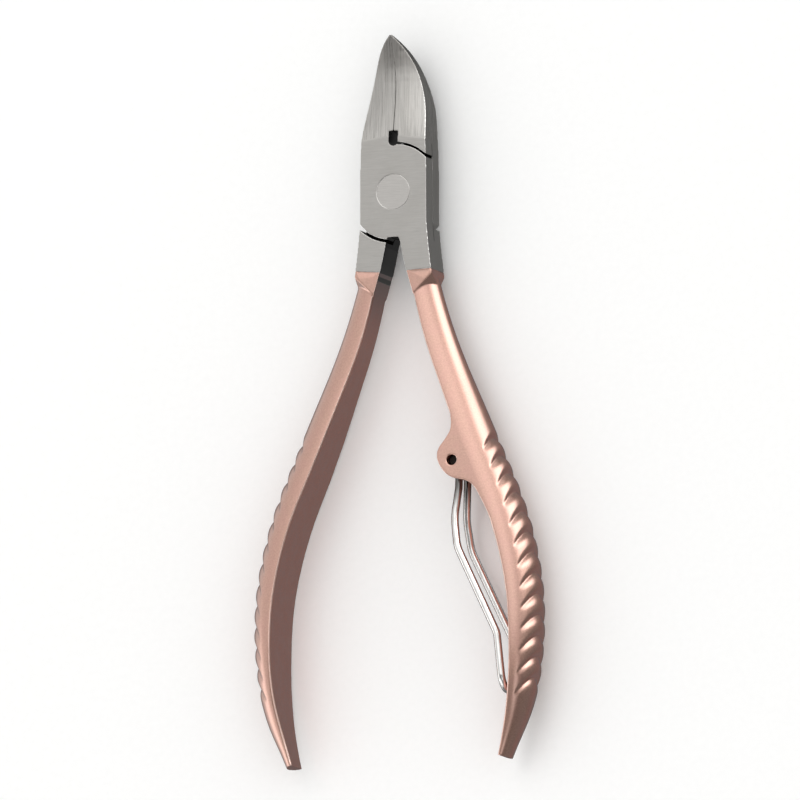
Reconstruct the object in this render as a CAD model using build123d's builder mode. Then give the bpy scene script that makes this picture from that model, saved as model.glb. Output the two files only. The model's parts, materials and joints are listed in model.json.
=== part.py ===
from build123d import *
from math import sqrt
import os

os.makedirs("parts", exist_ok=True)

# A lap-jointed cuticle nipper, lying flat with its jaws shut.
# Units are millimetres. +Y runs from the handle ends to the jaw tips, +Z is the depth
# of the tool, and the pivot axis stands on X = 0. Every outline below is measured from
# the pivot, and depths from the tool's middle plane, which is MID_Z above the origin.

# ---------------------------------------------------------------- driving dimensions
TIP_Y = 26.20                # jaw tips above the pivot
HANDLE_DEPTH = 10.40         # deepest part of the handles
HEAD_DEPTH = 6.00            # jaws and joint
COAT = 0.10                  # lacquer on the handles
LAP_GAP = 0.03               # between the two half-depth plates
JAW_GAP = 0.02               # half the light between the closed edges
PLATE_RADIUS = 7.95          # round ends of the half-depth plates
JAW_SEAT_RADIUS = 8.32       # hollow under each jaw, which the other plate turns in
HANDLE_SEAT_RADIUS = 8.45    # hollow over each handle

RIVET_HEAD_DIA = 5.85
RIVET_SHANK_DIA = 4.00
RIVET_CONE = 1.20            # depth of each countersunk head
RIVET_PLAY = 0.03            # running clearance in the rear plate

NOTCH_WIDTH = 1.60
NOTCH_TOP_Y = 10.20
NOTCH_FLOOR_Y = 7.70
EDGE_LAND = 1.50             # depth of the jaw faces that meet
EDGE_RELIEF = 0.74           # how far each jaw face has fallen back at the rear

COAT_LINE = (4.50, -13.10)   # edge of the lacquer on the middle of the right handle
COAT_LINE_TILT = 4.5

GROOVE_COUNT = 13
GROOVE_PITCH = 3.29          # along the flat inner face
GROOVE_FIRST = 33.30         # along the flat inner face, from its start in the head
GROOVE_DEPTH = 0.48
GROOVE_HALF_WIDTH = 0.85
GROOVE_REACH = 0.72          # share of the half depth where a groove runs out

WIRE_DIA = 1.25
COIL_PITCH = 1.30
COIL_TURNS = 1               # on each side of the middle
COIL_LEG_ANGLE = -50         # where the leg leaves the coil, round the pin
LEG_Z = 1.95                 # outer turn, where the leg leaves the coil
LOOP_Z = 3.50                # half the spacing of the legs at the loop
PIN_PLACE = (10.95, -45.30)
PIN_DIA = 1.70
PIN_LENGTH = 7.40
PIN_CHAMFER = 0.15
PIN_PLAY = 0.08              # between the pin and the coil
SLOT_WIDTH = 5.30            # between the cheeks of the spring's ear

# Flat inner face of the right handle, from inside the head to its end: x, y, and then
# the width and the depth of the half-round bar there.
BAR_STATIONS = [
    (2.30, -11.50, 3.70, 5.60),
    (3.70, -17.90, 4.00, 5.92),
    (5.80, -25.50, 4.35, 6.50),
    (8.20, -32.00, 4.55, 7.40),
    (10.35, -37.50, 4.80, 8.50),
    (12.40, -42.60, 4.95, 9.30),
    (14.50, -47.60, 5.05, 9.80),
    (17.10, -53.80, 4.95, 10.20),
    (19.05, -60.00, 4.80, 10.38),
    (20.45, -67.00, 4.55, 10.38),
    (20.90, -73.00, 4.25, 10.34),
    (20.85, -79.00, 3.80, 9.75),
    (20.35, -84.00, 3.35, 8.50),
    (19.60, -88.00, 2.75, 6.90),
    (18.75, -91.60, 2.00, 5.60),
    (18.10, -94.20, 1.55, 5.00),
]

# Right side of the head, down from the jaw tip to the end of the square block.
JAW_CURVE = [(0.12, TIP_Y), (2.85, 22.20), (4.16, 18.30), (4.95, 14.80), (5.60, 9.30), (5.80, 4.00)]
SIDE_CURVE = [(5.85, -5.00), (6.25, -9.50), (6.80, -14.00), (7.25, -18.20)]
BLOCK_INNER = [(3.45, -18.20), (2.45, -14.00), (1.75, -11.00), (1.20, -8.20)]
CROTCH = (0.90, -7.50)
BEVEL = [(6.75, -13.90), (3.60, -17.60), (7.00, -16.20)]  # two corners on a face, one at mid-depth
PLATE_CORNER = [(-5.83, -5.15), (-4.70, -6.34), (-4.70, -9.00), (-7.00, -9.00), (-7.00, -5.15)]

# Back of the jaws, ground away towards the tips: y, z.
JAW_BACK = [(14.00, -3.05), (17.10, -2.05), (20.30, -0.90), (23.60, 0.35), (26.40, 2.70)]

# Front of the jaws, ground hollow along the tool and crowned across it: y, the height of
# the middle, and how far it has dropped one millimetre to the side.
JAW_FRONT = [
    (8.60, 3.06, 0.002),
    (9.40, 2.99, 0.005),
    (12.00, 2.80, 0.020),
    (15.00, 2.58, 0.035),
    (18.00, 2.48, 0.045),
    (21.00, 2.56, 0.050),
    (23.50, 2.76, 0.050),
    (26.50, 3.06, 0.050),
]
FRONT_REACH = 8.0            # half the width of the cut that hollows the front

# Leg of the spring from its coil to its loop: x, y, z, and the radius of each bend.
LEG_ROUTE = [
    (11.25, -47.10, LEG_Z, 0.9),
    (11.20, -49.60, LEG_Z, 6.0),
    (10.75, -54.60, 2.80, 12.0),
    (11.40, -59.50, 3.30, 7.0),
    (18.45, -74.20, LOOP_Z, 3.5),
    (19.45, -83.40, LOOP_Z, 2.4),
]

# Outline of the ear on the handle's flat face, with two concave sweeps at its lower end.
EAR_BACK = [(19.60, -55.00), (12.60, -37.20), (11.20, -38.90), (8.45, -43.60)]
EAR_NOSE = [(8.45, -43.60), (9.30, -46.60), (12.00, -48.60)]
EAR_SWEEP = [(12.00, -48.60), (15.20, -50.25), (17.75, -55.20)]

# ---------------------------------------------------------------- frame
REACH = 30.0                 # cutting shapes run at least this far past the metal
MID_Z = HANDLE_DEPTH / 2
HALF_HEAD = HEAD_DEPTH / 2
BAR_END = BAR_STATIONS[-1]
bar_path = Spline(*[(x, y) for x, y, width, depth in BAR_STATIONS])


def outward_of(tangent):
    """Direction across the handle, from its flat inner face to its rounded back."""
    return Vector(-tangent.Y, tangent.X, 0)


# The round back of a handle's end is the lowest point of the tool along Y.
END_Y = BAR_END[1] + BAR_END[2] * outward_of(bar_path.tangent_at(1.0)).Y
PIVOT_Y = -(TIP_Y + END_Y) / 2
PLAN = Plane((0, PIVOT_Y, MID_Z))
SIDE = Plane(origin=(0, PIVOT_Y, MID_Z), x_dir=(0, 1, 0), z_dir=(1, 0, 0))
END_ON = Plane(origin=(0, PIVOT_Y, MID_Z), x_dir=(1, 0, 0), z_dir=(0, -1, 0))
LONG_AXIS = Axis((0, PIVOT_Y, MID_Z), (0, 1, 0))
COAT_PLANE = Plane(
    origin=(COAT_LINE[0], PIVOT_Y + COAT_LINE[1], MID_Z),
    z_dir=Vector(0, 1, 0).rotate(Axis.Z, COAT_LINE_TILT),
)


def at(x, y, z=0.0):
    """A place measured from the pivot, in the tool's frame."""
    return Vector(x, PIVOT_Y + y, MID_Z + z)


# ---------------------------------------------------------------- handle
def bar(inset):
    """The half-round bar of the right handle with its grip grooves, shrunk by inset."""
    with BuildPart() as half_round:
        for x, y, width, depth in BAR_STATIONS:
            tangent = bar_path.tangent_at((x, y))
            pull_back = inset if y == BAR_END[1] else 0
            half_depth = depth / 2 - inset
            across = Plane(at(x, y) - tangent * pull_back, x_dir=outward_of(tangent), z_dir=tangent)
            with BuildSketch(across):
                with BuildLine():
                    EllipticalCenterArc((inset, 0), width - 2 * inset, half_depth, -90, arc_size=180)
                    Line((inset, half_depth), (inset, -half_depth))
                make_face()
        loft()
        for index in range(GROOVE_COUNT):
            share = (GROOVE_FIRST + index * GROOVE_PITCH) / bar_path.length
            here = bar_path.position_at(share)
            tangent = bar_path.tangent_at(share)
            width, depth = section_at(here.Y)
            floor = width - GROOVE_DEPTH - inset
            mouth = width + GROOVE_DEPTH
            chord = GROOVE_REACH * depth / 2
            rise = floor - width * sqrt(1 - GROOVE_REACH**2)
            ring_radius = (chord**2 + rise**2) / (2 * rise)
            along = Plane(at(here.X, here.Y), x_dir=outward_of(tangent), z_dir=(0, 0, 1))
            with BuildSketch(along):
                with BuildLine():
                    Polyline(
                        (floor, 0),
                        (mouth, 2 * GROOVE_HALF_WIDTH),
                        (mouth, -2 * GROOVE_HALF_WIDTH),
                        close=True,
                    )
                make_face()
            ring_centre = at(here.X, here.Y) + along.x_dir * (floor - ring_radius)
            revolve(axis=Axis(ring_centre, tangent), mode=Mode.SUBTRACT)
    return half_round.part


def section_at(y):
    """Width and depth of the bar between two of its stations."""
    for upper, lower in zip(BAR_STATIONS, BAR_STATIONS[1:]):
        if lower[1] <= y <= upper[1]:
            share = (upper[1] - y) / (upper[1] - lower[1])
            return tuple(a + (b - a) * share for a, b in zip(upper[2:], lower[2:]))


def ear(inset):
    """Two cheeks on the flat face of the right handle, which hold the spring's pin."""
    with BuildPart() as cheeks:
        with BuildSketch(PLAN.offset(-MID_Z)):
            with BuildLine():
                Polyline(*EAR_BACK)
                ThreePointArc(*EAR_NOSE)
                ThreePointArc(*EAR_SWEEP)
                Line(EAR_SWEEP[-1], EAR_BACK[0])
            make_face()
            if inset:
                offset(amount=-inset, kind=Kind.INTERSECTION, mode=Mode.REPLACE)
        extrude(amount=HANDLE_DEPTH)
        with BuildSketch(SIDE):
            front_edge = [(y, depth / 2 - inset) for x, y, width, depth in BAR_STATIONS[3:9]]
            rear_edge = [(y, -z) for y, z in reversed(front_edge)]
            with BuildLine():
                Spline(*front_edge)
                Line(front_edge[-1], rear_edge[0])
                Spline(*rear_edge)
                Line(rear_edge[-1], front_edge[0])
            make_face()
        extrude(amount=REACH, mode=Mode.INTERSECT)
        with BuildSketch(PLAN.offset(-SLOT_WIDTH / 2)):
            with Locations(PIN_PLACE):
                Rectangle(REACH, REACH)
        extrude(amount=SLOT_WIDTH, mode=Mode.SUBTRACT)
    return cheeks.part


def block(inset):
    """Square end of the right handle under the joint, bevelled down to the round bar."""
    with BuildPart() as square:
        back = [(x - inset, y) for x, y in SIDE_CURVE]
        face = [(x + inset, y) for x, y in BLOCK_INNER]
        with BuildSketch(PLAN.offset(inset - HALF_HEAD)):
            with BuildLine():
                Spline(*back)
                Line(back[-1], face[0])
                Spline(*face)
                Line(face[-1], back[0])
            make_face()
        extrude(amount=HEAD_DEPTH - 2 * inset)
        for side in (1, -1):
            outer = at(*BEVEL[0], side * HALF_HEAD)
            inner = at(*BEVEL[1], side * HALF_HEAD)
            middle = at(*BEVEL[2])
            beyond = (inner - outer).cross(middle - outer).normalized() * side
            split(bisect_by=Plane(outer - beyond * inset, z_dir=-beyond), keep=Keep.TOP)
    return square.part


def handle(inset, with_ear):
    """Everything of the right handle below the edge of the lacquer."""
    with BuildPart() as whole:
        add(bar(inset))
        add(block(inset))
        if with_ear:
            add(ear(inset))
            with BuildSketch(PLAN.offset(-MID_Z)):
                with Locations(PIN_PLACE):
                    Circle(PIN_DIA / 2)
            extrude(amount=HANDLE_DEPTH, mode=Mode.SUBTRACT)
        split(bisect_by=COAT_PLANE, keep=Keep.BOTTOM)
    return whole.part


# ---------------------------------------------------------------- head
def head_outline():
    """Both halves of the head, with the square blocks that the handles grow from."""
    with BuildSketch() as outline:
        with BuildLine():
            Line((0, TIP_Y), JAW_CURVE[0])
            Spline(*JAW_CURVE)
            Line(JAW_CURVE[-1], SIDE_CURVE[0])
            Spline(*SIDE_CURVE)
            Line(SIDE_CURVE[-1], BLOCK_INNER[0])
            Spline(*BLOCK_INNER)
            Polyline(BLOCK_INNER[-1], CROTCH, (0, CROTCH[1]), (0, TIP_Y))
        make_face()
        mirror(about=Plane.YZ)
    return outline.sketch


def quadrant(x_sign, y_sign, radius):
    """One quarter of the plan, outside a circle round the pivot."""
    with BuildSketch() as region:
        with Locations((x_sign * REACH / 2, y_sign * REACH / 2)):
            Rectangle(REACH, REACH)
        Circle(radius, mode=Mode.SUBTRACT)
    return region.sketch


def head():
    """Left jaw, front plate and the root of the right handle, before the jaws are ground."""
    upper_right = quadrant(1, 1, PLATE_RADIUS)
    lower_left = quadrant(-1, -1, PLATE_RADIUS)
    upper_left = quadrant(-1, 1, JAW_SEAT_RADIUS)
    lower_right = quadrant(1, -1, HANDLE_SEAT_RADIUS)
    with BuildPart() as forged:
        with BuildSketch(PLAN.offset(LAP_GAP / 2)):
            add(head_outline())
            add(upper_right, mode=Mode.SUBTRACT)
            add(lower_left, mode=Mode.SUBTRACT)
            with BuildLine():
                Polyline(*PLATE_CORNER, close=True)
            make_face(mode=Mode.SUBTRACT)
        extrude(amount=HALF_HEAD - LAP_GAP / 2)
        with BuildSketch(PLAN.offset(-HALF_HEAD)):
            add(upper_left)
            add(lower_right)
            add(head_outline(), mode=Mode.INTERSECT)
        extrude(amount=HALF_HEAD + LAP_GAP / 2)
        split(bisect_by=COAT_PLANE, keep=Keep.TOP)
    return forged.part


def jaw_grind():
    """Metal that is ground off both jaws: their backs, their inner faces and the notch."""
    first, last = JAW_BACK[0], JAW_BACK[-1]
    land = HALF_HEAD - EDGE_LAND
    with BuildPart() as ground:
        with BuildSketch(SIDE.offset(-REACH / 2)):
            with BuildLine():
                Spline(*JAW_BACK)
                Polyline(last, (last[0], -HEAD_DEPTH), (first[0], -HEAD_DEPTH), first)
            make_face()
        extrude(amount=REACH)
        with BuildSketch(END_ON.offset(-last[0])):
            with BuildLine():
                Polyline(
                    (JAW_GAP, HEAD_DEPTH),
                    (JAW_GAP, land),
                    (EDGE_RELIEF, -HALF_HEAD),
                    (-EDGE_RELIEF, -HALF_HEAD),
                    (-JAW_GAP, land),
                    (-JAW_GAP, HEAD_DEPTH),
                    close=True,
                )
            make_face()
        extrude(amount=last[0] - NOTCH_FLOOR_Y - NOTCH_WIDTH)
        with BuildSketch(PLAN.offset(-HEAD_DEPTH)):
            with Locations((0, (NOTCH_TOP_Y + NOTCH_FLOOR_Y + NOTCH_WIDTH / 2) / 2)):
                Rectangle(NOTCH_WIDTH, NOTCH_TOP_Y - NOTCH_FLOOR_Y - NOTCH_WIDTH / 2)
            with Locations((0, NOTCH_FLOOR_Y + NOTCH_WIDTH / 2)):
                Circle(NOTCH_WIDTH / 2)
        extrude(amount=2 * HEAD_DEPTH)
    return ground.part


def front_hollow():
    """Metal above the hollow front of the jaws."""
    with BuildPart() as hollow:
        for y, height, drop in JAW_FRONT:
            side = height - drop * FRONT_REACH**2
            with BuildSketch(END_ON.offset(-y)):
                with BuildLine():
                    ThreePointArc((-FRONT_REACH, side), (0, height), (FRONT_REACH, side))
                    Polyline(
                        (FRONT_REACH, side),
                        (FRONT_REACH, 2 * HEAD_DEPTH),
                        (-FRONT_REACH, 2 * HEAD_DEPTH),
                        (-FRONT_REACH, side),
                    )
                make_face()
        loft()
    return hollow.part


def rivet(play):
    """Flush rivet with a countersunk head at each face."""
    with BuildPart() as turned:
        with BuildSketch(SIDE):
            with BuildLine():
                Polyline(
                    (0, -HALF_HEAD),
                    (RIVET_HEAD_DIA / 2 + play, -HALF_HEAD),
                    (RIVET_SHANK_DIA / 2 + play, RIVET_CONE - HALF_HEAD),
                    (RIVET_SHANK_DIA / 2 + play, HALF_HEAD - RIVET_CONE),
                    (RIVET_HEAD_DIA / 2 + play, HALF_HEAD),
                    (0, HALF_HEAD),
                    close=True,
                )
            make_face()
        revolve(axis=Axis(at(0, 0), (0, 0, 1)))
    return turned.part


# ---------------------------------------------------------------- front lever
forged_head = head()
ground_off = jaw_grind() + front_hollow()

with BuildPart() as front_lever:
    add(forged_head)
    add(handle(COAT, with_ear=True))
    add(ground_off, mode=Mode.SUBTRACT)
    add(rivet(0), mode=Mode.SUBTRACT)

with BuildPart() as front_handle_coating:
    add(handle(0, with_ear=True))
    add(handle(COAT, with_ear=True), mode=Mode.SUBTRACT)

# ---------------------------------------------------------------- rear lever
with BuildPart() as left_core:
    add(handle(COAT, with_ear=False))
    mirror(about=Plane.YZ, mode=Mode.REPLACE)

with BuildPart() as rear_lever:
    add(forged_head.rotate(LONG_AXIS, 180))
    add(left_core)
    add(ground_off, mode=Mode.SUBTRACT)
    add(rivet(RIVET_PLAY), mode=Mode.SUBTRACT)

with BuildPart() as rear_handle_coating:
    add(handle(0, with_ear=False))
    mirror(about=Plane.YZ, mode=Mode.REPLACE)
    add(left_core, mode=Mode.SUBTRACT)

# ---------------------------------------------------------------- rivet, pin, spring
with BuildPart() as pivot_rivet:
    add(rivet(0))

with BuildPart() as spring_pin:
    with BuildSketch(PLAN.offset(-PIN_LENGTH / 2)):
        with Locations(PIN_PLACE):
            Circle(PIN_DIA / 2)
    extrude(amount=PIN_LENGTH)
    chamfer(spring_pin.edges().filter_by(GeomType.CIRCLE), PIN_CHAMFER)

coil_radius = PIN_DIA / 2 + PIN_PLAY + WIRE_DIA / 2
coil_plane = Plane(
    at(*PIN_PLACE, LEG_Z), x_dir=Vector(1, 0, 0).rotate(Axis.Z, COIL_LEG_ANGLE), z_dir=(0, 0, -1)
)
coil = coil_plane * Helix(COIL_PITCH, COIL_PITCH * COIL_TURNS, coil_radius, lefthand=True)
leg_points = [coil @ 0]
leg_points += [at(x, y, z) for x, y, z, bend in LEG_ROUTE]
leg_points += [at(LEG_ROUTE[-1][0], LEG_ROUTE[-1][1])]
leg = FilletPolyline(*leg_points, radius=[bend for x, y, z, bend in LEG_ROUTE])

with BuildPart() as return_spring:
    for wire in (coil, leg):
        with BuildSketch(Plane(wire @ 0, z_dir=wire % 0)):
            Circle(WIRE_DIA / 2)
        sweep(path=wire, is_frenet=wire is coil)
    with Locations(coil @ 0):
        Sphere(WIRE_DIA / 2)
    mirror(about=PLAN)

front_lever.part.label = "front_lever"
export_step(front_lever.part, "parts/front_lever.step")
front_handle_coating.part.label = "front_handle_coating"
export_step(front_handle_coating.part, "parts/front_handle_coating.step")
rear_lever.part.label = "rear_lever"
export_step(rear_lever.part, "parts/rear_lever.step")
rear_handle_coating.part.label = "rear_handle_coating"
export_step(rear_handle_coating.part, "parts/rear_handle_coating.step")
pivot_rivet.part.label = "pivot_rivet"
export_step(pivot_rivet.part, "parts/pivot_rivet.step")
spring_pin.part.label = "spring_pin"
export_step(spring_pin.part, "parts/spring_pin.step")
return_spring.part.label = "return_spring"
export_step(return_spring.part, "parts/return_spring.step")
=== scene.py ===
import json
from math import cos, pi, radians, sin

import bmesh
import bpy
import numpy as np
from mathutils import Matrix, Vector


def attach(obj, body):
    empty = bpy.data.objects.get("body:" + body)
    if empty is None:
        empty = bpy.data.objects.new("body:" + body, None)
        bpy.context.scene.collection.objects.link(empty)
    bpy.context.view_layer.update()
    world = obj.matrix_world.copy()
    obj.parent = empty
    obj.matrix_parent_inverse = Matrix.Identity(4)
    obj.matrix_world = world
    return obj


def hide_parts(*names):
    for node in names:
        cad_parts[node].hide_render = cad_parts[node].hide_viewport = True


# A lap-jointed cuticle nipper: brushed steel head, rose lacquered handles with scalloped
# grips, and a bright wire spring. Lengths here are millimetres, measured from the pivot
# and from the tool's middle plane; at() and MM turn them into the frame's metres.

MM = 0.001
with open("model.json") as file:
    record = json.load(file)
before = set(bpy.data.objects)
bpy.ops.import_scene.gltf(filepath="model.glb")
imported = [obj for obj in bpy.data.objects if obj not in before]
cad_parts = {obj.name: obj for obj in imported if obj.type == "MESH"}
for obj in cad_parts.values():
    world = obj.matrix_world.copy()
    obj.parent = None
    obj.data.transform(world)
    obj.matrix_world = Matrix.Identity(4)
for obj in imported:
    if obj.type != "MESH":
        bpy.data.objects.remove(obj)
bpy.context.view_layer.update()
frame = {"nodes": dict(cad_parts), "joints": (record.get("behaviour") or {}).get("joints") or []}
joints = {joint["name"]: joint for joint in frame["joints"]}
PIVOT = Vector(joints["lever_pivot"]["pos_m"])
PIN = (Vector(joints["spring_swing"]["pos_m"]) - PIVOT) / MM

HALF_HEAD = 3.0
COAT_LINE = (4.50, -13.10)       # edge of the lacquer on the middle of the right handle
COAT_TILT = {1: radians(1.5), -1: radians(5.5)}  # right and left handle
STUB = 1.5                       # steel that runs on inside the lacquer
VOXEL = 0.12                     # grain of the fused handle meshes
HEAD_VOXEL = 0.10
MOST_TRIANGLES = 170000          # in one piece

BAR_STATIONS = [                 # flat inner face of the right handle: x, y, width, depth
    (2.30, -11.50, 3.70, 5.60),
    (3.70, -17.90, 4.00, 5.92),
    (5.80, -25.50, 4.35, 6.50),
    (8.20, -32.00, 4.55, 7.40),
    (10.35, -37.50, 4.80, 8.50),
    (12.40, -42.60, 4.95, 9.30),
    (14.50, -47.60, 5.05, 9.80),
    (17.10, -53.80, 4.95, 10.20),
    (19.05, -60.00, 4.80, 10.38),
    (20.45, -67.00, 4.55, 10.38),
    (20.90, -73.00, 4.25, 10.34),
    (20.85, -79.00, 3.80, 9.75),
    (20.35, -84.00, 3.35, 8.50),
    (19.60, -88.00, 2.75, 6.90),
    (18.75, -91.60, 2.00, 5.60),
    (18.10, -94.20, 1.55, 5.00),
]
BAR_STEP = 0.16
BACK_STEPS = 72                  # round the half-round back
CORNER = 0.22                    # softened corners of the flat inner face

GROOVE_COUNT = 13
GROOVE_PITCH = 3.29
GROOVE_FIRST = {1: 33.30, -1: 32.30}  # right and left handle
GROOVE_DEPTH = 0.66
GROOVE_RISE = 1.30               # the end of a lobe, above its groove
GROOVE_FALL = GROOVE_PITCH - GROOVE_RISE
GROOVE_ENDS = (52, 66)           # degrees from the crest at which the first and last groove run out
GROOVE_SWEEP = 2.6               # how far a groove has swept down the handle, 60 degrees round

JAW_FRONT = [                    # ground front of the jaws on the middle line: y, z
    (8.60, 3.06),
    (9.40, 2.99),
    (12.00, 2.80),
    (15.00, 2.58),
    (18.00, 2.48),
    (21.00, 2.56),
    (23.50, 2.76),
    (26.50, 3.06),
]
SEAM_START = 10.4
JAW_LEAN = [                     # how far the jaws lie off the middle: y, and then x
    (9.00, 0.00),
    (12.00, 0.10),
    (15.00, 0.25),
    (18.50, 0.30),
    (21.50, 0.10),
    (24.00, -0.22),
    (26.20, -0.48),
]

BLOCK_BACK = [(5.85, -5.00), (6.25, -9.50), (6.80, -14.00), (7.25, -18.20)]
BLOCK_FACE = [(3.80, -18.20), (2.55, -14.00), (1.75, -11.00), (1.20, -8.20)]
BEVEL = [(6.75, -13.90), (3.60, -16.90), (7.00, -16.20)]

EAR_EDGE = [                     # free edge of the ear on the handle's flat face
    (10.40, -36.90), (10.62, -38.80), (10.56, -40.15), (10.03, -41.25), (9.19, -42.40),
    (8.52, -43.45), (8.32, -44.40), (8.62, -45.70), (9.50, -47.10), (10.73, -48.08),
    (11.96, -48.50), (13.10, -48.75), (14.30, -49.35), (15.20, -50.35), (16.15, -51.95),
    (17.60, -54.90),
]
EAR_ROOT = 0.45                  # how far the ear runs into the bar
SLOT_WIDTH = 5.30
PIN_RADIUS = 0.85
PIN_HALF_LENGTH = 3.70

RIVET_RADIUS = 2.925
RIVET_SHANK = 2.00
RIVET_CONE = 1.20

WIRE_RADIUS = 0.625
COIL_PITCH = 1.30
COIL_LEG_ANGLE = radians(-50)
PIN_PLAY = 0.08
LEG_Z = 1.95
LOOP_Z = 3.50
LEG_ROUTE = [                    # x, y, z and the radius of each bend
    (11.25, -47.10, LEG_Z, 0.9),
    (11.20, -49.60, LEG_Z, 6.0),
    (10.75, -54.60, 2.80, 12.0),
    (11.40, -59.50, 3.30, 7.0),
    (18.45, -74.20, LOOP_Z, 3.5),
    (19.45, -83.40, LOOP_Z, 2.4),
]


def at(x, y, z=0.0):
    """A place measured from the pivot in millimetres, in the frame's metres."""
    return PIVOT + Vector((x, y, z)) * MM


# ---------------------------------------------------------------- curves
def natural_spline(knots, values, where):
    """Natural cubic spline through values at knots, read at where."""
    h = np.diff(knots)
    slope = np.diff(values, axis=0) / h[:, None]
    n = len(knots)
    system = np.eye(n)
    right = np.zeros_like(values)
    for i in range(1, n - 1):
        system[i, i - 1:i + 2] = h[i - 1], 2 * (h[i - 1] + h[i]), h[i]
        right[i] = 6 * (slope[i] - slope[i - 1])
    bend = np.linalg.solve(system, right)
    i = np.clip(np.searchsorted(knots, where, side="right") - 1, 0, n - 2)
    a = (knots[i + 1] - where)[:, None]
    b = (where - knots[i])[:, None]
    hi = h[i][:, None]
    cubic = (bend[i] * a**3 + bend[i + 1] * b**3) / (6 * hi)
    ahead = (values[i + 1] / hi - bend[i + 1] * hi / 6) * b
    return cubic + (values[i] / hi - bend[i] * hi / 6) * a + ahead


def smooth_through(points, step):
    """A smooth curve through points, sampled about every step."""
    values = np.array(points, float)
    knots = np.concatenate([[0], np.cumsum(np.linalg.norm(np.diff(values[:, :2], axis=0), axis=1))])
    where = np.linspace(0, knots[-1], max(2, round(knots[-1] / step) + 1))
    return natural_spline(knots, values, where)


def filleted(points, radii, step=0.12):
    """A polyline whose inner corners are rounded to the given radii."""
    line = [Vector(p) for p in points]
    path = [line[0]]
    for before, corner, after, radius in zip(line, line[1:], line[2:], radii):
        back = (before - corner).normalized()
        ahead = (after - corner).normalized()
        half = back.angle(ahead) / 2
        reach = radius / np.tan(half)
        centre = corner + (back + ahead).normalized() * (radius / sin(half))
        first = corner + back * reach - centre
        last = corner + ahead * reach - centre
        turn = first.angle(last)
        steps = max(3, round(turn * radius / step))
        for i in range(steps + 1):
            share = i / steps
            path.append(centre + (first * sin(turn * (1 - share)) + last * sin(turn * share)) / sin(turn))
    path.append(line[-1])
    return path


# ---------------------------------------------------------------- mesh helpers
def new_object(name, mesh):
    """A linked object with smooth shading."""
    obj = bpy.data.objects.new(name, mesh)
    bpy.context.scene.collection.objects.link(obj)
    mesh.shade_smooth()
    return obj


def mesh_from(name, points, faces):
    """A mesh from points in millimetres."""
    mesh = bpy.data.meshes.new(name)
    mesh.from_pydata([at(*p) for p in points], [], faces)
    mesh.update()
    return mesh


def prism_faces(count):
    """Faces of a prism whose lower ring comes first and whose upper ring follows it."""
    sides = [(i, (i + 1) % count, (i + 1) % count + count, i + count) for i in range(count)]
    return [tuple(reversed(range(count))), tuple(range(count, 2 * count))] + sides


def prism(name, outline, low, high):
    """A plan outline, given as x and y, carried up from low to high."""
    ring = [(x, y, z) for z in (low, high) for x, y in outline]
    return new_object(name, mesh_from(name, ring, prism_faces(len(outline))))


def settle(obj):
    """Applies an object's modifiers."""
    graph = bpy.context.evaluated_depsgraph_get()
    graph.update()
    baked = bpy.data.meshes.new_from_object(obj.evaluated_get(graph))
    obj.modifiers.clear()
    obj.data = baked
    return obj


def drop(*objects):
    """Removes working objects."""
    for obj in objects:
        bpy.data.objects.remove(obj)


def combine(body, tool, operation):
    """Solid union, difference or intersection, using the tool up."""
    cut = body.modifiers.new("combine", "BOOLEAN")
    cut.operation = operation
    cut.solver = "EXACT"
    cut.object = tool
    settle(body)
    drop(tool)
    return body


def tidy_normals(obj):
    """Makes every face look outwards."""
    work = bmesh.new()
    work.from_mesh(obj.data)
    bmesh.ops.recalc_face_normals(work, faces=work.faces)
    work.to_mesh(obj.data)
    work.free()


def join(name, parts):
    """One object with the meshes of several."""
    work = bmesh.new()
    for part in parts:
        tidy_normals(part)
        work.from_mesh(part.data)
    mesh = bpy.data.meshes.new(name)
    work.to_mesh(mesh)
    work.free()
    drop(*parts)
    return new_object(name, mesh)


def fuse(obj, voxel, softening):
    """Fuses overlapping closed shapes into one skin, with slightly softened edges."""
    skin = obj.modifiers.new("fuse", "REMESH")
    skin.mode = "VOXEL"
    skin.voxel_size = voxel * MM
    soften = obj.modifiers.new("soften", "SMOOTH")
    soften.factor = 0.5
    soften.iterations = softening
    settle(obj)
    thin = obj.modifiers.new("thin", "DECIMATE")
    thin.ratio = min(1.0, MOST_TRIANGLES / (2 * len(obj.data.polygons)))
    settle(obj)
    obj.data.shade_smooth()
    return obj


def keep_beyond(obj, place, direction):
    """Cuts an object by a plane, keeps what lies along direction, and closes the cut."""
    work = bmesh.new()
    work.from_mesh(obj.data)
    everything = work.verts[:] + work.edges[:] + work.faces[:]
    cut = bmesh.ops.bisect_plane(
        work, geom=everything, dist=1e-7, plane_co=place, plane_no=direction, clear_inner=True
    )
    rim = [e for e in cut["geom_cut"] if isinstance(e, bmesh.types.BMEdge)]
    bmesh.ops.holes_fill(work, edges=rim, sides=0)
    bmesh.ops.recalc_face_normals(work, faces=work.faces)
    work.to_mesh(obj.data)
    work.free()
    return obj


def turn_over(obj):
    """Turns a shape half round the tool's long axis."""
    half_turn = Matrix.Rotation(pi, 4, "Y")
    obj.data.transform(Matrix.Translation(PIVOT) @ half_turn @ Matrix.Translation(-PIVOT))


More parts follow.
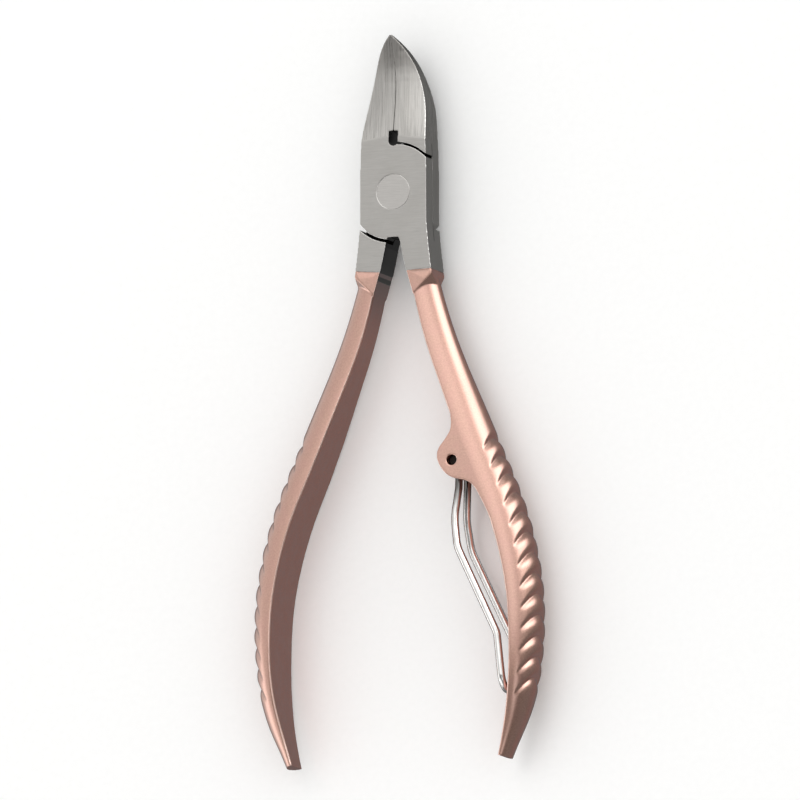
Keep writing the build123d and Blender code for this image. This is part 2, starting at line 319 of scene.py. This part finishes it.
# ---------------------------------------------------------------- handles
def groove_depth(along, around):
    """Depth of the scalloped grip at a place past its first groove and an angle round the back."""
    sweep = GROOVE_SWEEP * (around / radians(60)) ** 2
    nearest = round((along - sweep) / GROOVE_PITCH)
    deepest = 0.0
    for index in (nearest - 1, nearest, nearest + 1):
        if 0 <= index < GROOVE_COUNT:
            past = along - sweep - index * GROOVE_PITCH
            end = radians(np.interp(index, (0, GROOVE_COUNT - 1), GROOVE_ENDS))
            fade = max(0.0, 1 - abs(around / end) ** 3)
            reach = (GROOVE_FALL if past > 0 else GROOVE_RISE) * (0.45 + 0.55 * fade)
            share = max(0.0, 1 - abs(past) / reach)
            deepest = max(deepest, GROOVE_DEPTH * fade * share**2.2)
    return deepest


def bar(name, first_groove):
    """The half-round bar of the right handle with its scalloped grip."""
    line = smooth_through(BAR_STATIONS, BAR_STEP)
    ahead = np.gradient(line[:, :2], axis=0)
    ahead /= np.linalg.norm(ahead, axis=1)[:, None]
    along = np.concatenate([[0], np.cumsum(np.linalg.norm(np.diff(line[:, :2], axis=0), axis=1))])
    angles = [radians(-90 + 180 * i / BACK_STEPS) for i in range(BACK_STEPS + 1)]
    points = []
    for (x, y, width, depth), (tx, ty), run in zip(line, ahead, along):
        section = [(CORNER * 0.25, -depth / 2 + CORNER * 0.9)]
        for angle in angles:
            cut = groove_depth(run - first_groove, angle)
            out = (width - cut) * cos(angle)
            up = (depth / 2 - cut) * sin(angle)
            if out > CORNER * 0.75:
                section.append((out, up))
        section.append((CORNER * 0.25, depth / 2 - CORNER * 0.9))
        section[1:1] = [(CORNER * 0.75, -depth / 2 + CORNER * 0.2)]
        section[-1:-1] = [(CORNER * 0.75, depth / 2 - CORNER * 0.2)]
        section += [(0.0, (depth / 2 - CORNER) * k) for k in (1.0, 0.5, 0.0, -0.5, -1.0)]
        even = even_ring(section, BACK_STEPS + 40)
        points += [(x - ty * out, y + tx * out, up) for out, up in even]
    count = BACK_STEPS + 40
    rings = len(line)
    faces = [tuple(range(count)), tuple(reversed(range((rings - 1) * count, rings * count)))]
    for ring in range(rings - 1):
        for i in range(count):
            a, b = ring * count + i, ring * count + (i + 1) % count
            faces.append((a, a + count, b + count, b))
    return new_object(name, mesh_from(name, points, faces))


def even_ring(section, count):
    """A closed section resampled to evenly spaced points."""
    loop = np.array(section + section[:1])
    run = np.concatenate([[0], np.cumsum(np.linalg.norm(np.diff(loop, axis=0), axis=1))])
    where = np.linspace(0, run[-1], count, endpoint=False)
    return list(zip(np.interp(where, run, loop[:, 0]), np.interp(where, run, loop[:, 1])))


def block(name):
    """Square end of the right handle, bevelled down to the round bar on both faces."""
    outline = [tuple(p) for p in smooth_through(BLOCK_BACK, 0.5)]
    outline += [tuple(p) for p in smooth_through(BLOCK_FACE, 0.5)]
    square = prism(name, outline, -HALF_HEAD, HALF_HEAD)
    for side in (1, -1):
        outer, inner = (Vector((*p, side * HALF_HEAD)) for p in BEVEL[:2])
        middle = Vector((*BEVEL[2], 0))
        beyond = (inner - outer).cross(middle - outer).normalized() * side
        keep_beyond(square, at(*outer), -beyond)
    return square


def ear(name):
    """Two cheeks on the flat face of the right handle, bored for the spring's pin."""
    outline = [tuple(p) for p in smooth_through(EAR_EDGE, 0.2)]
    face = smooth_through(BAR_STATIONS, 0.5)
    ahead = np.gradient(face[:, :2], axis=0)
    ahead /= np.linalg.norm(ahead, axis=1)[:, None]
    for (x, y, width, depth), (tx, ty) in reversed(list(zip(face, ahead))):
        if EAR_EDGE[-1][1] < y < EAR_EDGE[0][1]:
            outline.append((x - ty * EAR_ROOT, y + tx * EAR_ROOT))
    cheeks = prism(name, outline, -6, 6)
    depths = smooth_through([(y, depth / 2 - 0.01) for x, y, width, depth in BAR_STATIONS[3:9]], 0.4)
    envelope = [(y, z) for y, z in depths] + [(y, -z) for y, z in depths[::-1]]
    ring = [(x, y, z) for x in (0, 30) for y, z in envelope]
    trim = new_object("trim", mesh_from("trim", ring, prism_faces(len(envelope))))
    tidy_normals(cheeks)
    tidy_normals(trim)
    combine(cheeks, trim, "INTERSECT")
    slot_half = SLOT_WIDTH / 2
    slot = prism("slot", [(0, -30), (30, -30), (30, -60), (0, -60)], -slot_half, slot_half)
    tidy_normals(slot)
    combine(cheeks, slot, "DIFFERENCE")
    wide, narrow = (PIN_RADIUS + 0.35, 5.02), (PIN_RADIUS, 4.67)
    bore = turned("bore", [(wide[0], -wide[1]), (narrow[0], -narrow[1]), narrow, wide], PIN, 48)
    tidy_normals(bore)
    return combine(cheeks, bore, "DIFFERENCE")


def coat_plane(side, shift=0.0):
    """A place on the plane where the lacquer starts, and its normal up the tool."""
    normal = Vector((-side * sin(COAT_TILT[side]), cos(COAT_TILT[side]), 0))
    return at(side * COAT_LINE[0], COAT_LINE[1]) + normal * shift * MM, normal


def lacquered_handle(name, side):
    """One handle's lacquer, up to the coat line, with the spring's ear on the right handle."""
    parts = [bar("bar", GROOVE_FIRST[side]), block("block")]
    if side == 1:
        parts.append(ear("ear"))
    whole = fuse(join(name, parts), VOXEL, 4)
    if side == -1:
        turn_over(whole)
    place, normal = coat_plane(side)
    return keep_beyond(whole, place, -normal)


# ---------------------------------------------------------------- head, rivet, pin, spring
def forged_head(name, node, side):
    """Jaw, half-depth plate and handle root of one lever, from its CAD node."""
    mesh = frame["nodes"][node].data.copy()
    mesh.materials.clear()
    head = new_object(name, mesh)
    work = bmesh.new()
    work.from_mesh(mesh)
    bmesh.ops.remove_doubles(work, verts=work.verts, dist=1e-6)
    work.to_mesh(mesh)
    work.free()
    place, normal = coat_plane(side, -STUB)
    keep_beyond(head, place, normal)
    fuse(head, HEAD_VOXEL, 2)
    return true_jaw(head)


def true_jaw(head):
    """Brings the front edge of a jaw's meeting face back up to its front, and leans the jaw."""
    count = len(head.data.vertices)
    places = np.empty(count * 3)
    head.data.vertices.foreach_get("co", places)
    places = (places.reshape(count, 3) - np.array(PIVOT)) / MM
    x, y, z = places.T
    front = np.interp(y, [row[0] for row in JAW_FRONT], [row[1] for row in JAW_FRONT])
    front = np.minimum(front, HALF_HEAD) - 0.01
    seam = (np.abs(x) < 0.2) & (y > SEAM_START) & (z > front - 0.16) & (z < front)
    places[seam, 2] = front[seam]
    lean = np.array(JAW_LEAN)
    leant = (y > lean[0, 0]) & (y < lean[-1, 0] + 1)
    where = np.minimum(y[leant], lean[-1, 0])
    places[leant, 0] += natural_spline(lean[:, 0], lean[:, 1:], where)[:, 0]
    head.data.vertices.foreach_set("co", (places * MM + np.array(PIVOT)).ravel())
    head.data.update()
    return head


def turned(name, profile, centre, steps=96):
    """A shape turned about an upright axis: radius and height, from the bottom up."""
    work = bmesh.new()
    rings = []
    for radius, height in profile:
        ring = []
        for i in range(steps):
            angle = radians(360 * i / steps)
            x = centre.x + radius * cos(angle)
            y = centre.y + radius * sin(angle)
            ring.append(work.verts.new(at(x, y, height)))
        rings.append(ring)
    for low, high in zip(rings, rings[1:]):
        for i in range(steps):
            j = (i + 1) % steps
            work.faces.new((low[i], low[j], high[j], high[i]))
    work.faces.new(rings[0][::-1])
    work.faces.new(rings[-1])
    mesh = bpy.data.meshes.new(name)
    work.to_mesh(mesh)
    work.free()
    obj = new_object(name, mesh)
    for cap in list(mesh.polygons)[-2:]:
        cap.use_smooth = False
    return obj


def wire_path():
    """Centre line of the spring's front half: coil, leg and half of the loop."""
    radius = PIN_RADIUS + PIN_PLAY + WIRE_RADIUS
    turn = 2 * pi
    coil = []
    for i in range(72, -1, -1):
        angle = COIL_LEG_ANGLE + turn * i / 72
        height = LEG_Z - COIL_PITCH * i / 72
        coil.append(Vector((PIN.x + radius * cos(angle), PIN.y + radius * sin(angle), height)))
    corners = [coil[-1]] + [Vector(stop[:3]) for stop in LEG_ROUTE]
    corners.append(Vector((*LEG_ROUTE[-1][:2], 0)))
    return coil[:-1] + filleted(corners, [stop[3] for stop in LEG_ROUTE])


def tube(name, path, radius, sides=20):
    """A round wire along a path, with domed ends."""
    points = [Vector(p) for p in path]
    aheads = []
    for i in range(len(points)):
        ahead = points[min(i + 1, len(points) - 1)] - points[max(i - 1, 0)]
        aheads.append(ahead.normalized())
    across = aheads[0].orthogonal().normalized()
    rings = []
    for i, (point, ahead) in enumerate(zip(points, aheads)):
        across = (across - ahead * across.dot(ahead)).normalized()
        other = ahead.cross(across)
        if i in (0, len(points) - 1):
            back = -1 if i == 0 else 1
            dome = [(radius * cos(t), radius * 0.5 * sin(t) * back) for t in (radians(75), radians(45), 0)]
            domes = dome if i == 0 else dome[::-1]
        else:
            domes = [(radius, 0)]
        for r, shift in domes:
            turn = [2 * pi * k / sides for k in range(sides)]
            rings.append([point + ahead * shift + (across * cos(t) + other * sin(t)) * r for t in turn])
    verts = [tuple(p) for ring in rings for p in ring]
    faces = [tuple(reversed(range(sides))), tuple(range((len(rings) - 1) * sides, len(rings) * sides))]
    for ring in range(len(rings) - 1):
        for k in range(sides):
            a, b = ring * sides + k, ring * sides + (k + 1) % sides
            faces.append((a, b, b + sides, a + sides))
    return new_object(name, mesh_from(name, verts, faces))


# ---------------------------------------------------------------- materials
RANGE_SOCKETS = ("From Min", "From Max", "To Min", "To Max")


class Shader:
    """A material's node tree, with short calls for the nodes used here."""

    def __init__(self, name):
        self.material = bpy.data.materials.new(name)
        self.material.use_nodes = True
        self.tree = self.material.node_tree
        self.surface = self.tree.nodes["Principled BSDF"]
        self.place = self.node("ShaderNodeTexCoord").outputs["Object"]

    def node(self, kind, **settings):
        made = self.tree.nodes.new(kind)
        for key, value in settings.items():
            setattr(made, key, value)
        return made

    def link(self, source, target):
        self.tree.links.new(source, target)

    def feed(self, socket, value):
        if isinstance(value, (int, float, tuple)):
            socket.default_value = value
        else:
            self.link(value, socket)

    def scaled(self, scale, turn=(0, 0, 0)):
        """The place on the piece, with each axis scaled from metres."""
        mapping = self.node("ShaderNodeMapping")
        mapping.inputs["Scale"].default_value = scale
        mapping.inputs["Rotation"].default_value = turn
        self.link(self.place, mapping.inputs["Vector"])
        return mapping.outputs["Vector"]

    def noise(self, scale, detail=2.0, roughness=0.5, turn=(0, 0, 0)):
        """Noise whose grain is given along x, y and z, as repeats a metre."""
        made = self.node("ShaderNodeTexNoise")
        made.inputs["Scale"].default_value = 1.0
        made.inputs["Detail"].default_value = detail
        made.inputs["Roughness"].default_value = roughness
        self.link(self.scaled(scale, turn), made.inputs["Vector"])
        return made.outputs["Fac"]

    def math(self, operation, a, b=0.0, c=0.0):
        made = self.node("ShaderNodeMath", operation=operation)
        for socket, value in zip(made.inputs, (a, b, c)):
            self.feed(socket, value)
        return made.outputs["Value"]

    def span(self, value, low, high, out_low=0.0, out_high=1.0, smooth=True):
        """Maps a value from one range to another, held at both ends."""
        made = self.node("ShaderNodeMapRange", clamp=True)
        made.interpolation_type = "SMOOTHSTEP" if smooth else "LINEAR"
        for key, number in zip(RANGE_SOCKETS, (low, high, out_low, out_high)):
            made.inputs[key].default_value = number
        self.feed(made.inputs["Value"], value)
        return made.outputs["Result"]

    def blend(self, share, first, second):
        """A colour between two."""
        made = self.node("ShaderNodeMix", data_type="RGBA")
        self.feed(made.inputs["Factor"], share)
        self.feed(made.inputs["A"], first)
        self.feed(made.inputs["B"], second)
        return made.outputs["Result"]

    def bump(self, height, distance, strength=1.0, over=None):
        made = self.node("ShaderNodeBump")
        made.inputs["Distance"].default_value = distance
        made.inputs["Strength"].default_value = strength
        self.link(height, made.inputs["Height"])
        if over is not None:
            self.link(over, made.inputs["Normal"])
        return made.outputs["Normal"]

    def xyz(self):
        """x, y and z from the pivot, in millimetres."""
        shift = self.node("ShaderNodeVectorMath", operation="SUBTRACT")
        self.link(self.place, shift.inputs[0])
        shift.inputs[1].default_value = PIVOT
        grow = self.node("ShaderNodeVectorMath", operation="SCALE")
        grow.inputs["Scale"].default_value = 1 / MM
        self.link(shift.outputs["Vector"], grow.inputs[0])
        split = self.node("ShaderNodeSeparateXYZ")
        self.link(grow.outputs["Vector"], split.inputs[0])
        return split.outputs["X"], split.outputs["Y"], split.outputs["Z"]

    def facing(self):
        """The surface's own direction on the piece, as X, Y and Z outputs."""
        split = self.node("ShaderNodeSeparateXYZ")
        self.link(self.node("ShaderNodeTexCoord").outputs["Normal"], split.inputs[0])
        return split.outputs

    def finish(self, **inputs):
        for key, value in inputs.items():
            self.feed(self.surface.inputs[key.replace("_", " ")], value)
        return self.material


def rgb(red, green, blue):
    """A colour from display values between 0 and 255."""
    return tuple(((c / 255 + 0.055) / 1.055) ** 2.4 for c in (red, green, blue)) + (1.0,)


def gap_shade(s, x, y, z):
    """Painted shade, black where shade falls in the steel's gaps: the notch, the seats of the plates, the
    lap and the fork under the joint.
    """
    from_pivot = s.math("SQRT", s.math("ADD", s.math("MULTIPLY", x, x), s.math("MULTIPLY", y, y)))
    sideways = s.math("ABSOLUTE", x)
    deep = s.span(s.math("ABSOLUTE", z), HALF_HEAD - 0.16, HALF_HEAD - 0.30)
    seat = s.math("MULTIPLY", s.span(from_pivot, 7.82, 7.92), s.span(from_pivot, 8.60, 8.50))
    seat = s.math("MULTIPLY", seat, s.span(sideways, 5.72, 5.60))
    from_notch = s.math("ABSOLUTE", s.math("SUBTRACT", y, 8.95))
    notch = s.math("MULTIPLY", s.span(sideways, 0.92, 0.86), s.span(from_notch, 1.42, 1.34))
    in_hollow = s.math("LESS_THAN", z, 2.62)
    notch = s.math("MULTIPLY", notch, in_hollow)
    lap = s.span(s.math("ABSOLUTE", z), 0.16, 0.05)
    lap = s.math("MULTIPLY", lap, s.span(s.math("ABSOLUTE", y), 8.3, 7.9))
    fork = s.span(s.math("ABSOLUTE", s.math("ADD", y, 8.0)), 1.5, 1.1)
    fork = s.math("MULTIPLY", s.math("MULTIPLY", fork, s.span(sideways, 1.9, 1.5)), in_hollow)
    black = s.math("MAXIMUM", s.math("MULTIPLY", seat, deep), s.math("MAXIMUM", notch, fork))
    return s.math("MAXIMUM", black, s.math("MULTIPLY", lap, 0.8))


def crotch_shade(s, x, y, strength):
    """Painted shade: dark on the faces that look at each other under the joint, fading down the handles.
    """
    near = s.span(y, -25.0, -11.0, 0.0, strength)
    return s.math("MULTIPLY", s.span(inwards(s, x), 0.45, 0.8), near)


def inwards(s, x):
    """How far a face looks towards the middle of the tool."""
    side = s.math("MULTIPLY", s.math("SIGN", x), -1.0)
    return s.math("MULTIPLY", s.facing()["X"], side)


def brushed_steel():
    """Ground stainless: lengthwise on the jaws, finely across on the joint, with painted
    shade in the gaps, along the seam, under the joint and at the tips, and painted highlights on the
    edges."""
    s = Shader("brushed_steel")
    x, y, z = s.xyz()
    flat = s.math("ABSOLUTE", s.facing()["Z"])
    flank_grain = s.noise((700, 240, 9000), 4.0, 0.62)
    flat_grain = s.noise((9000, 110, 700), 4.0, 0.62)
    lengthwise = s.blend(s.span(flat, 0.3, 0.6), flank_grain, flat_grain)
    across = s.noise((420, 12000, 12000), 3.0, 0.6)
    arch = s.math("MULTIPLY_ADD", s.math("MULTIPLY", x, x), -0.02, 9.35)
    jaws = s.span(s.math("SUBTRACT", y, arch), -0.06, 0.06)
    grain = s.blend(jaws, s.span(across, 0.0, 1.0, 0.36, 0.64, False), lengthwise)
    clouds = s.noise((260, 200, 260), 4.0, 0.6)
    tone = s.blend(s.span(grain, 0.3, 0.7), rgb(158, 156, 152), rgb(193, 190, 186))
    tone = s.blend(s.span(clouds, 0.35, 0.75, 0.0, 0.35), tone, rgb(168, 165, 160))
    # Painted shade: the jaws darker towards their tips.
    tips = s.span(s.math("MULTIPLY_ADD", clouds, 1.5, y), 19.5, 23.0)
    tone = s.blend(s.math("MULTIPLY", tips, 0.45), tone, rgb(112, 108, 104))
    # Painted highlight: a bright line on the bevelled edges away from the middle, fading out towards the
    # tips.
    edge = s.math("MULTIPLY", s.span(flat, 0.25, 0.45), s.span(flat, 0.96, 0.88))
    edge = s.math("MULTIPLY", edge, s.span(s.math("ABSOLUTE", x), 1.0, 1.4))
    edge = s.math("MULTIPLY", edge, s.span(y, 21.0, 11.0, 0.0, 0.85))
    tone = s.blend(edge, tone, rgb(250, 248, 244))
    # Painted shade: a dark line along the seam between the jaws.
    past_bend = s.math("SUBTRACT", y, 18.0)
    seam = s.math("MULTIPLY_ADD", s.math("MULTIPLY", past_bend, past_bend), -0.005, 0.30)
    off_seam = s.math("ABSOLUTE", s.math("SUBTRACT", x, seam))
    line = s.math("MULTIPLY", s.span(off_seam, 0.11, 0.05), s.span(y, 20.5, 17.5, 0.0, 0.6))
    tone = s.blend(s.math("MULTIPLY", line, s.span(y, 9.5, 10.5)), tone, rgb(70, 64, 60))
    # Painted shade: black in the gaps and on the facing faces under the joint.
    black = s.math("MAXIMUM", gap_shade(s, x, y, z), crotch_shade(s, x, y, 0.93))
    tone = s.blend(black, tone, rgb(16, 14, 13))
    rough = s.span(grain, 0.2, 0.8, 0.24, 0.36)
    normal = s.bump(grain, 0.000016, 0.5)
    s.surface.inputs["Metallic"].default_value = 1.0
    return s.finish(Base_Color=tone, Roughness=rough, Normal=normal)


def rivet_steel():
    """The rivet's ground end: crossed fine scratches."""
    s = Shader("rivet_steel")
    across = s.noise((500, 12000, 12000), 3.0, 0.6, (0, 0, radians(35)))
    tone = s.blend(s.span(across, 0.2, 0.8), rgb(180, 177, 173), rgb(197, 194, 190))
    s.surface.inputs["Metallic"].default_value = 1.0
    rough = s.span(across, 0.2, 0.8, 0.27, 0.38)
    return s.finish(Base_Color=tone, Roughness=rough, Normal=s.bump(across, 0.000012, 0.35))


def rose_lacquer():
    """Satin metallic lacquer with a fine pearl grain; painted light and shade make it paler on flat faces
    and deeper on the flanks, with a painted highlight on the inner edges and painted shade under the
    joint.
    """
    s = Shader("rose_lacquer")
    x, y, z = s.xyz()
    flakes = s.noise((3600, 3600, 3600), 3.0, 0.75)
    clouds = s.noise((520, 420, 520), 3.0, 0.6)
    flat = s.math("ABSOLUTE", s.facing()["Z"])
    # Painted light and shade: flat faces paler, flanks a deeper, darker tone.
    tone = s.blend(s.span(flat, 0.0, 0.4), rgb(220, 136, 113), rgb(206, 160, 140))
    tone = s.blend(s.span(flakes, 0.3, 0.7, 0.34, 0.0), tone, rgb(150, 104, 92))
    tone = s.blend(s.span(clouds, 0.35, 0.7, 0.0, 0.3), tone, rgb(204, 150, 138))
    # Painted highlight: a pale line on the inner edges of the flat faces.
    edge = s.math("MULTIPLY", s.span(inwards(s, x), 0.25, 0.45), s.span(flat, 0.2, 0.4))
    tone = s.blend(edge, tone, rgb(250, 215, 200))
    # Painted shade under the joint.
    tone = s.blend(crotch_shade(s, x, y, 0.85), tone, rgb(30, 18, 16))
    rough = s.span(flakes, 0.25, 0.75, 0.29, 0.38)
    normal = s.bump(flakes, 0.00001, 0.5)
    s.surface.inputs["Metallic"].default_value = 1.0
    s.surface.inputs["Coat Weight"].default_value = 1.0
    s.surface.inputs["Coat IOR"].default_value = 1.85
    s.surface.inputs["Coat Roughness"].default_value = 0.22
    return s.finish(Base_Color=tone, Roughness=rough, Normal=normal)


def spring_wire():
    """Bright drawn wire, marked along its length, with painted shade near the ear."""
    s = Shader("spring_wire")
    x, y, z = s.xyz()
    marks = s.noise((5200, 160, 5200), 3.0, 0.6)
    tone = s.blend(s.span(marks, 0.3, 0.7), rgb(206, 204, 201), rgb(238, 237, 235))
    # Painted shade: the wire darker towards the ear, where its slot shades it.
    tone = s.blend(s.span(y, -55.0, -49.0, 0.0, 0.8), tone, rgb(40, 32, 29))
    s.surface.inputs["Metallic"].default_value = 1.0
    s.surface.inputs["Specular Tint"].default_value = (0.25, 0.22, 0.20, 1.0)
    rough = s.span(marks, 0.2, 0.8, 0.10, 0.17)
    return s.finish(Base_Color=tone, Roughness=rough, Normal=s.bump(marks, 0.000005, 0.15))


def pin_steel():
    """Dark steel with turning marks on its ends; the dark tone is painted shade of the recessed hole."""
    s = Shader("pin_steel")
    marks = s.noise((3000, 3000, 3000), 3.0, 0.6)
    # Painted shade: the very dark tone stands in for the shade in the ear's bore.
    tone = s.blend(marks, rgb(28, 26, 24), rgb(52, 48, 45))
    s.surface.inputs["Metallic"].default_value = 0.9
    rough = s.span(marks, 0.2, 0.8, 0.4, 0.6)
    return s.finish(Base_Color=tone, Roughness=rough, Normal=s.bump(marks, 0.00001, 0.3))


def floor_paper():
    """Smooth white card."""
    s = Shader("floor_paper")
    fibres = s.noise((900, 900, 900), 4.0, 0.6)
    tone = s.blend(fibres, rgb(246, 246, 245), rgb(252, 252, 251))
    return s.finish(Base_Color=tone, Roughness=0.9, Normal=s.bump(fibres, 0.00004, 0.1))


def place(obj, body, node, slot, material):
    """Puts a finished piece on its body, in place of its CAD node."""
    obj.data.materials.clear()
    obj.data.materials.append(material)
    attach(obj, body)
    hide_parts(node)


# ---------------------------------------------------------------- the nipper
steel = brushed_steel()
lacquer = rose_lacquer()

place(forged_head("front_lever_head", "front_lever", 1), "front_half", "front_lever", "tool_steel", steel)
place(forged_head("rear_lever_head", "rear_lever", -1), "rear_half", "rear_lever", "tool_steel", steel)

right_handle = lacquered_handle("right_handle_lacquer", 1)
place(right_handle, "front_half", "front_handle_coating", "handle_lacquer", lacquer)
left_handle = lacquered_handle("left_handle_lacquer", -1)
place(left_handle, "rear_half", "rear_handle_coating", "handle_lacquer", lacquer)

RIVET_EDGE = 0.05
rivet_profile = [
    (RIVET_RADIUS - 2 * RIVET_EDGE, -HALF_HEAD),
    (RIVET_RADIUS, RIVET_EDGE - HALF_HEAD),
    (RIVET_SHANK, RIVET_CONE - HALF_HEAD),
    (RIVET_SHANK, HALF_HEAD - RIVET_CONE),
    (RIVET_RADIUS, HALF_HEAD - RIVET_EDGE),
    (RIVET_RADIUS - 2 * RIVET_EDGE, HALF_HEAD),
]
rivet = turned("rivet", rivet_profile, Vector((0, 0, 0)))
place(rivet, "front_half", "pivot_rivet", "rivet_steel", rivet_steel())

PIN_CHAMFER = 0.15
pin_profile = [
    (PIN_RADIUS - PIN_CHAMFER, -PIN_HALF_LENGTH),
    (PIN_RADIUS, PIN_CHAMFER - PIN_HALF_LENGTH),
    (PIN_RADIUS, PIN_HALF_LENGTH - PIN_CHAMFER),
    (PIN_RADIUS - PIN_CHAMFER, PIN_HALF_LENGTH),
]
place(turned("ear_pin", pin_profile, PIN, 48), "front_half", "spring_pin", "pin_steel", pin_steel())

front_half = wire_path()
rear_half = [Vector((p.x, p.y, -p.z)) for p in reversed(front_half[:-1])]
wire = tube("wire_spring", front_half + rear_half, WIRE_RADIUS)
place(wire, "spring", "return_spring", "spring_wire", spring_wire())

# ---------------------------------------------------------------- studio
FLOOR_SIZE = 4.0
floor_mesh = bpy.data.meshes.new("floor")
half = FLOOR_SIZE / 2
floor_corners = [(-half, -half, 0), (half, -half, 0), (half, half, 0), (-half, half, 0)]
floor_mesh.from_pydata(floor_corners, [], [(0, 1, 2, 3)])
floor = new_object("floor", floor_mesh)
floor_mesh.materials.append(floor_paper())
floor.visible_glossy = False

scene = bpy.context.scene
scene.view_settings.view_transform = "Standard"


SKY = (0.20, 1.0)                # mirrored light over the tool: at the camera's side, and beyond it
SKY_EDGE = (-0.08, 0.17)         # where one turns into the other, along y
SKY_LEFT = (0.42, 0.72)          # and how far round to the left it stays bright
LEFT_TO_RIGHT = (0.80, 1.60)     # its rise from the left to over the tool
RIGHT_FALL = 0.50                # and its share at the right
BELOW = 0.25
UNDER_TOOL = 0.40                # share of that right behind the tool
HORIZON = (-0.40, 0.10)
HORIZON_AXIS = (-0.45, 0, 1)     # the horizon lies lower on the left
ROOM = 0.95                      # light on matt surfaces
BOX_LOW = (-0.50, -0.10)         # the soft box's lower and upper fade, as heights on a unit ball
BOX_HIGH = (0.60, 0.30)
BOX_START = radians(20)          # and its ends, as bearings
BOX_END = radians(50)
BOX_STRENGTH = 3.1
CARDS = [                        # small mirrored lights: direction, edge and strength
    ((-0.965, -0.20, 0.16), (0.93, 0.98), 1.2),
    ((-0.40, -0.75, 0.53), (0.86, 0.95), 1.2),
    ((0.58, -0.27, 0.77), (0.965, 0.990), 1.0),
]


def environment():
    """Studio surroundings that shiny surfaces mirror: see the constants above."""
    world = bpy.data.worlds.new("studio")
    scene.world = world
    world.use_nodes = True
    world.cycles.sampling_method = "NONE"
    tree = world.node_tree
    direction = tree.nodes.new("ShaderNodeTexCoord").outputs["Generated"]

    def along(axis):
        dot = tree.nodes.new("ShaderNodeVectorMath")
        dot.operation = "DOT_PRODUCT"
        dot.inputs[1].default_value = Vector(axis).normalized()
        tree.links.new(direction, dot.inputs[0])
        return dot.outputs["Value"]

    def ramp(value, low, high, out_low=0.0, out_high=1.0):
        span = tree.nodes.new("ShaderNodeMapRange")
        span.interpolation_type = "SMOOTHSTEP"
        for key, number in zip(RANGE_SOCKETS, (low, high, out_low, out_high)):
            span.inputs[key].default_value = number
        tree.links.new(value, span.inputs["Value"])
        return span.outputs["Result"]

    def math(operation, *values):
        made = tree.nodes.new("ShaderNodeMath")
        made.operation = operation
        for socket, value in zip(made.inputs, values):
            if isinstance(value, float):
                socket.default_value = value
            else:
                tree.links.new(value, socket)
        return made.outputs["Value"]

    height = along((0, 0, 1))
    lit = math("MAXIMUM", ramp(along((0, 1, 0)), *SKY_EDGE), ramp(along((-1, 0, 0)), *SKY_LEFT))
    sky = math("MULTIPLY_ADD", lit, SKY[1] - SKY[0], SKY[0])
    rightwards = along((1, 0, 0))
    sky = math("MULTIPLY", sky, ramp(rightwards, -0.9, 0.3, *LEFT_TO_RIGHT))
    sky = math("MULTIPLY", sky, ramp(rightwards, 0.25, 0.75, 1.0, RIGHT_FALL))
    below = ramp(along(-TOWARDS_CAMERA), 0.72, 1.0, BELOW, BELOW * UNDER_TOOL)
    above = ramp(along(HORIZON_AXIS), *HORIZON)
    ground = math("MULTIPLY", below, math("SUBTRACT", 1.0, above))
    room = math("MULTIPLY_ADD", sky, above, ground)
    band = math("MULTIPLY", ramp(height, *BOX_LOW), ramp(height, *BOX_HIGH))
    start = ramp(along((-sin(BOX_START), cos(BOX_START), 0)), -0.04, 0.10)
    end = ramp(along((sin(BOX_END), -cos(BOX_END), 0)), -0.04, 0.10)
    box = math("MULTIPLY", band, math("MULTIPLY", start, end))
    room = math("MULTIPLY_ADD", box, BOX_STRENGTH, room)
    for towards, edge, strength in CARDS:
        room = math("MULTIPLY_ADD", ramp(along(towards), *edge), strength, room)
    glossy = tree.nodes.new("ShaderNodeLightPath").outputs["Is Glossy Ray"]
    change = math("MULTIPLY", glossy, math("SUBTRACT", room, ROOM))
    tree.links.new(math("ADD", change, ROOM), tree.nodes["Background"].inputs["Strength"])
    tree.nodes["Background"].inputs["Color"].default_value = (1, 1, 1, 1)


TOWARDS_CAMERA = Vector((0.358, -0.147, 0.923)).normalized()
environment()

key = bpy.data.lights.new("key", "AREA")
key.shape = "DISK"
key.size = 0.9
key.energy = 2.0
key_light = bpy.data.objects.new("key", key)
key_light.location = PIVOT + Vector((-0.25, 0.35, 1.1))
key_light.rotation_euler = (PIVOT - key_light.location).to_track_quat("-Z", "Y").to_euler()
key_light.visible_glossy = False
scene.collection.objects.link(key_light)

# ---------------------------------------------------------------- camera
CAMERA_DISTANCE = 5.0
AIM = (0.07, -34.2, 0)
FRAMED = 800 / 6.086 * MM        # width of what the frame holds at the tool
camera_data = bpy.data.cameras.new("camera")
camera_data.lens = camera_data.sensor_width * CAMERA_DISTANCE / FRAMED
camera_data.clip_start = 0.01
camera = bpy.data.objects.new("camera", camera_data)
upright = (Vector((0, 1, 0)) - TOWARDS_CAMERA * TOWARDS_CAMERA.y).normalized()
turn = Matrix((upright.cross(TOWARDS_CAMERA), upright, TOWARDS_CAMERA)).transposed()
camera.matrix_world = Matrix.Translation(at(*AIM) + TOWARDS_CAMERA * CAMERA_DISTANCE) @ turn.to_4x4()
scene.collection.objects.link(camera)
scene.camera = camera
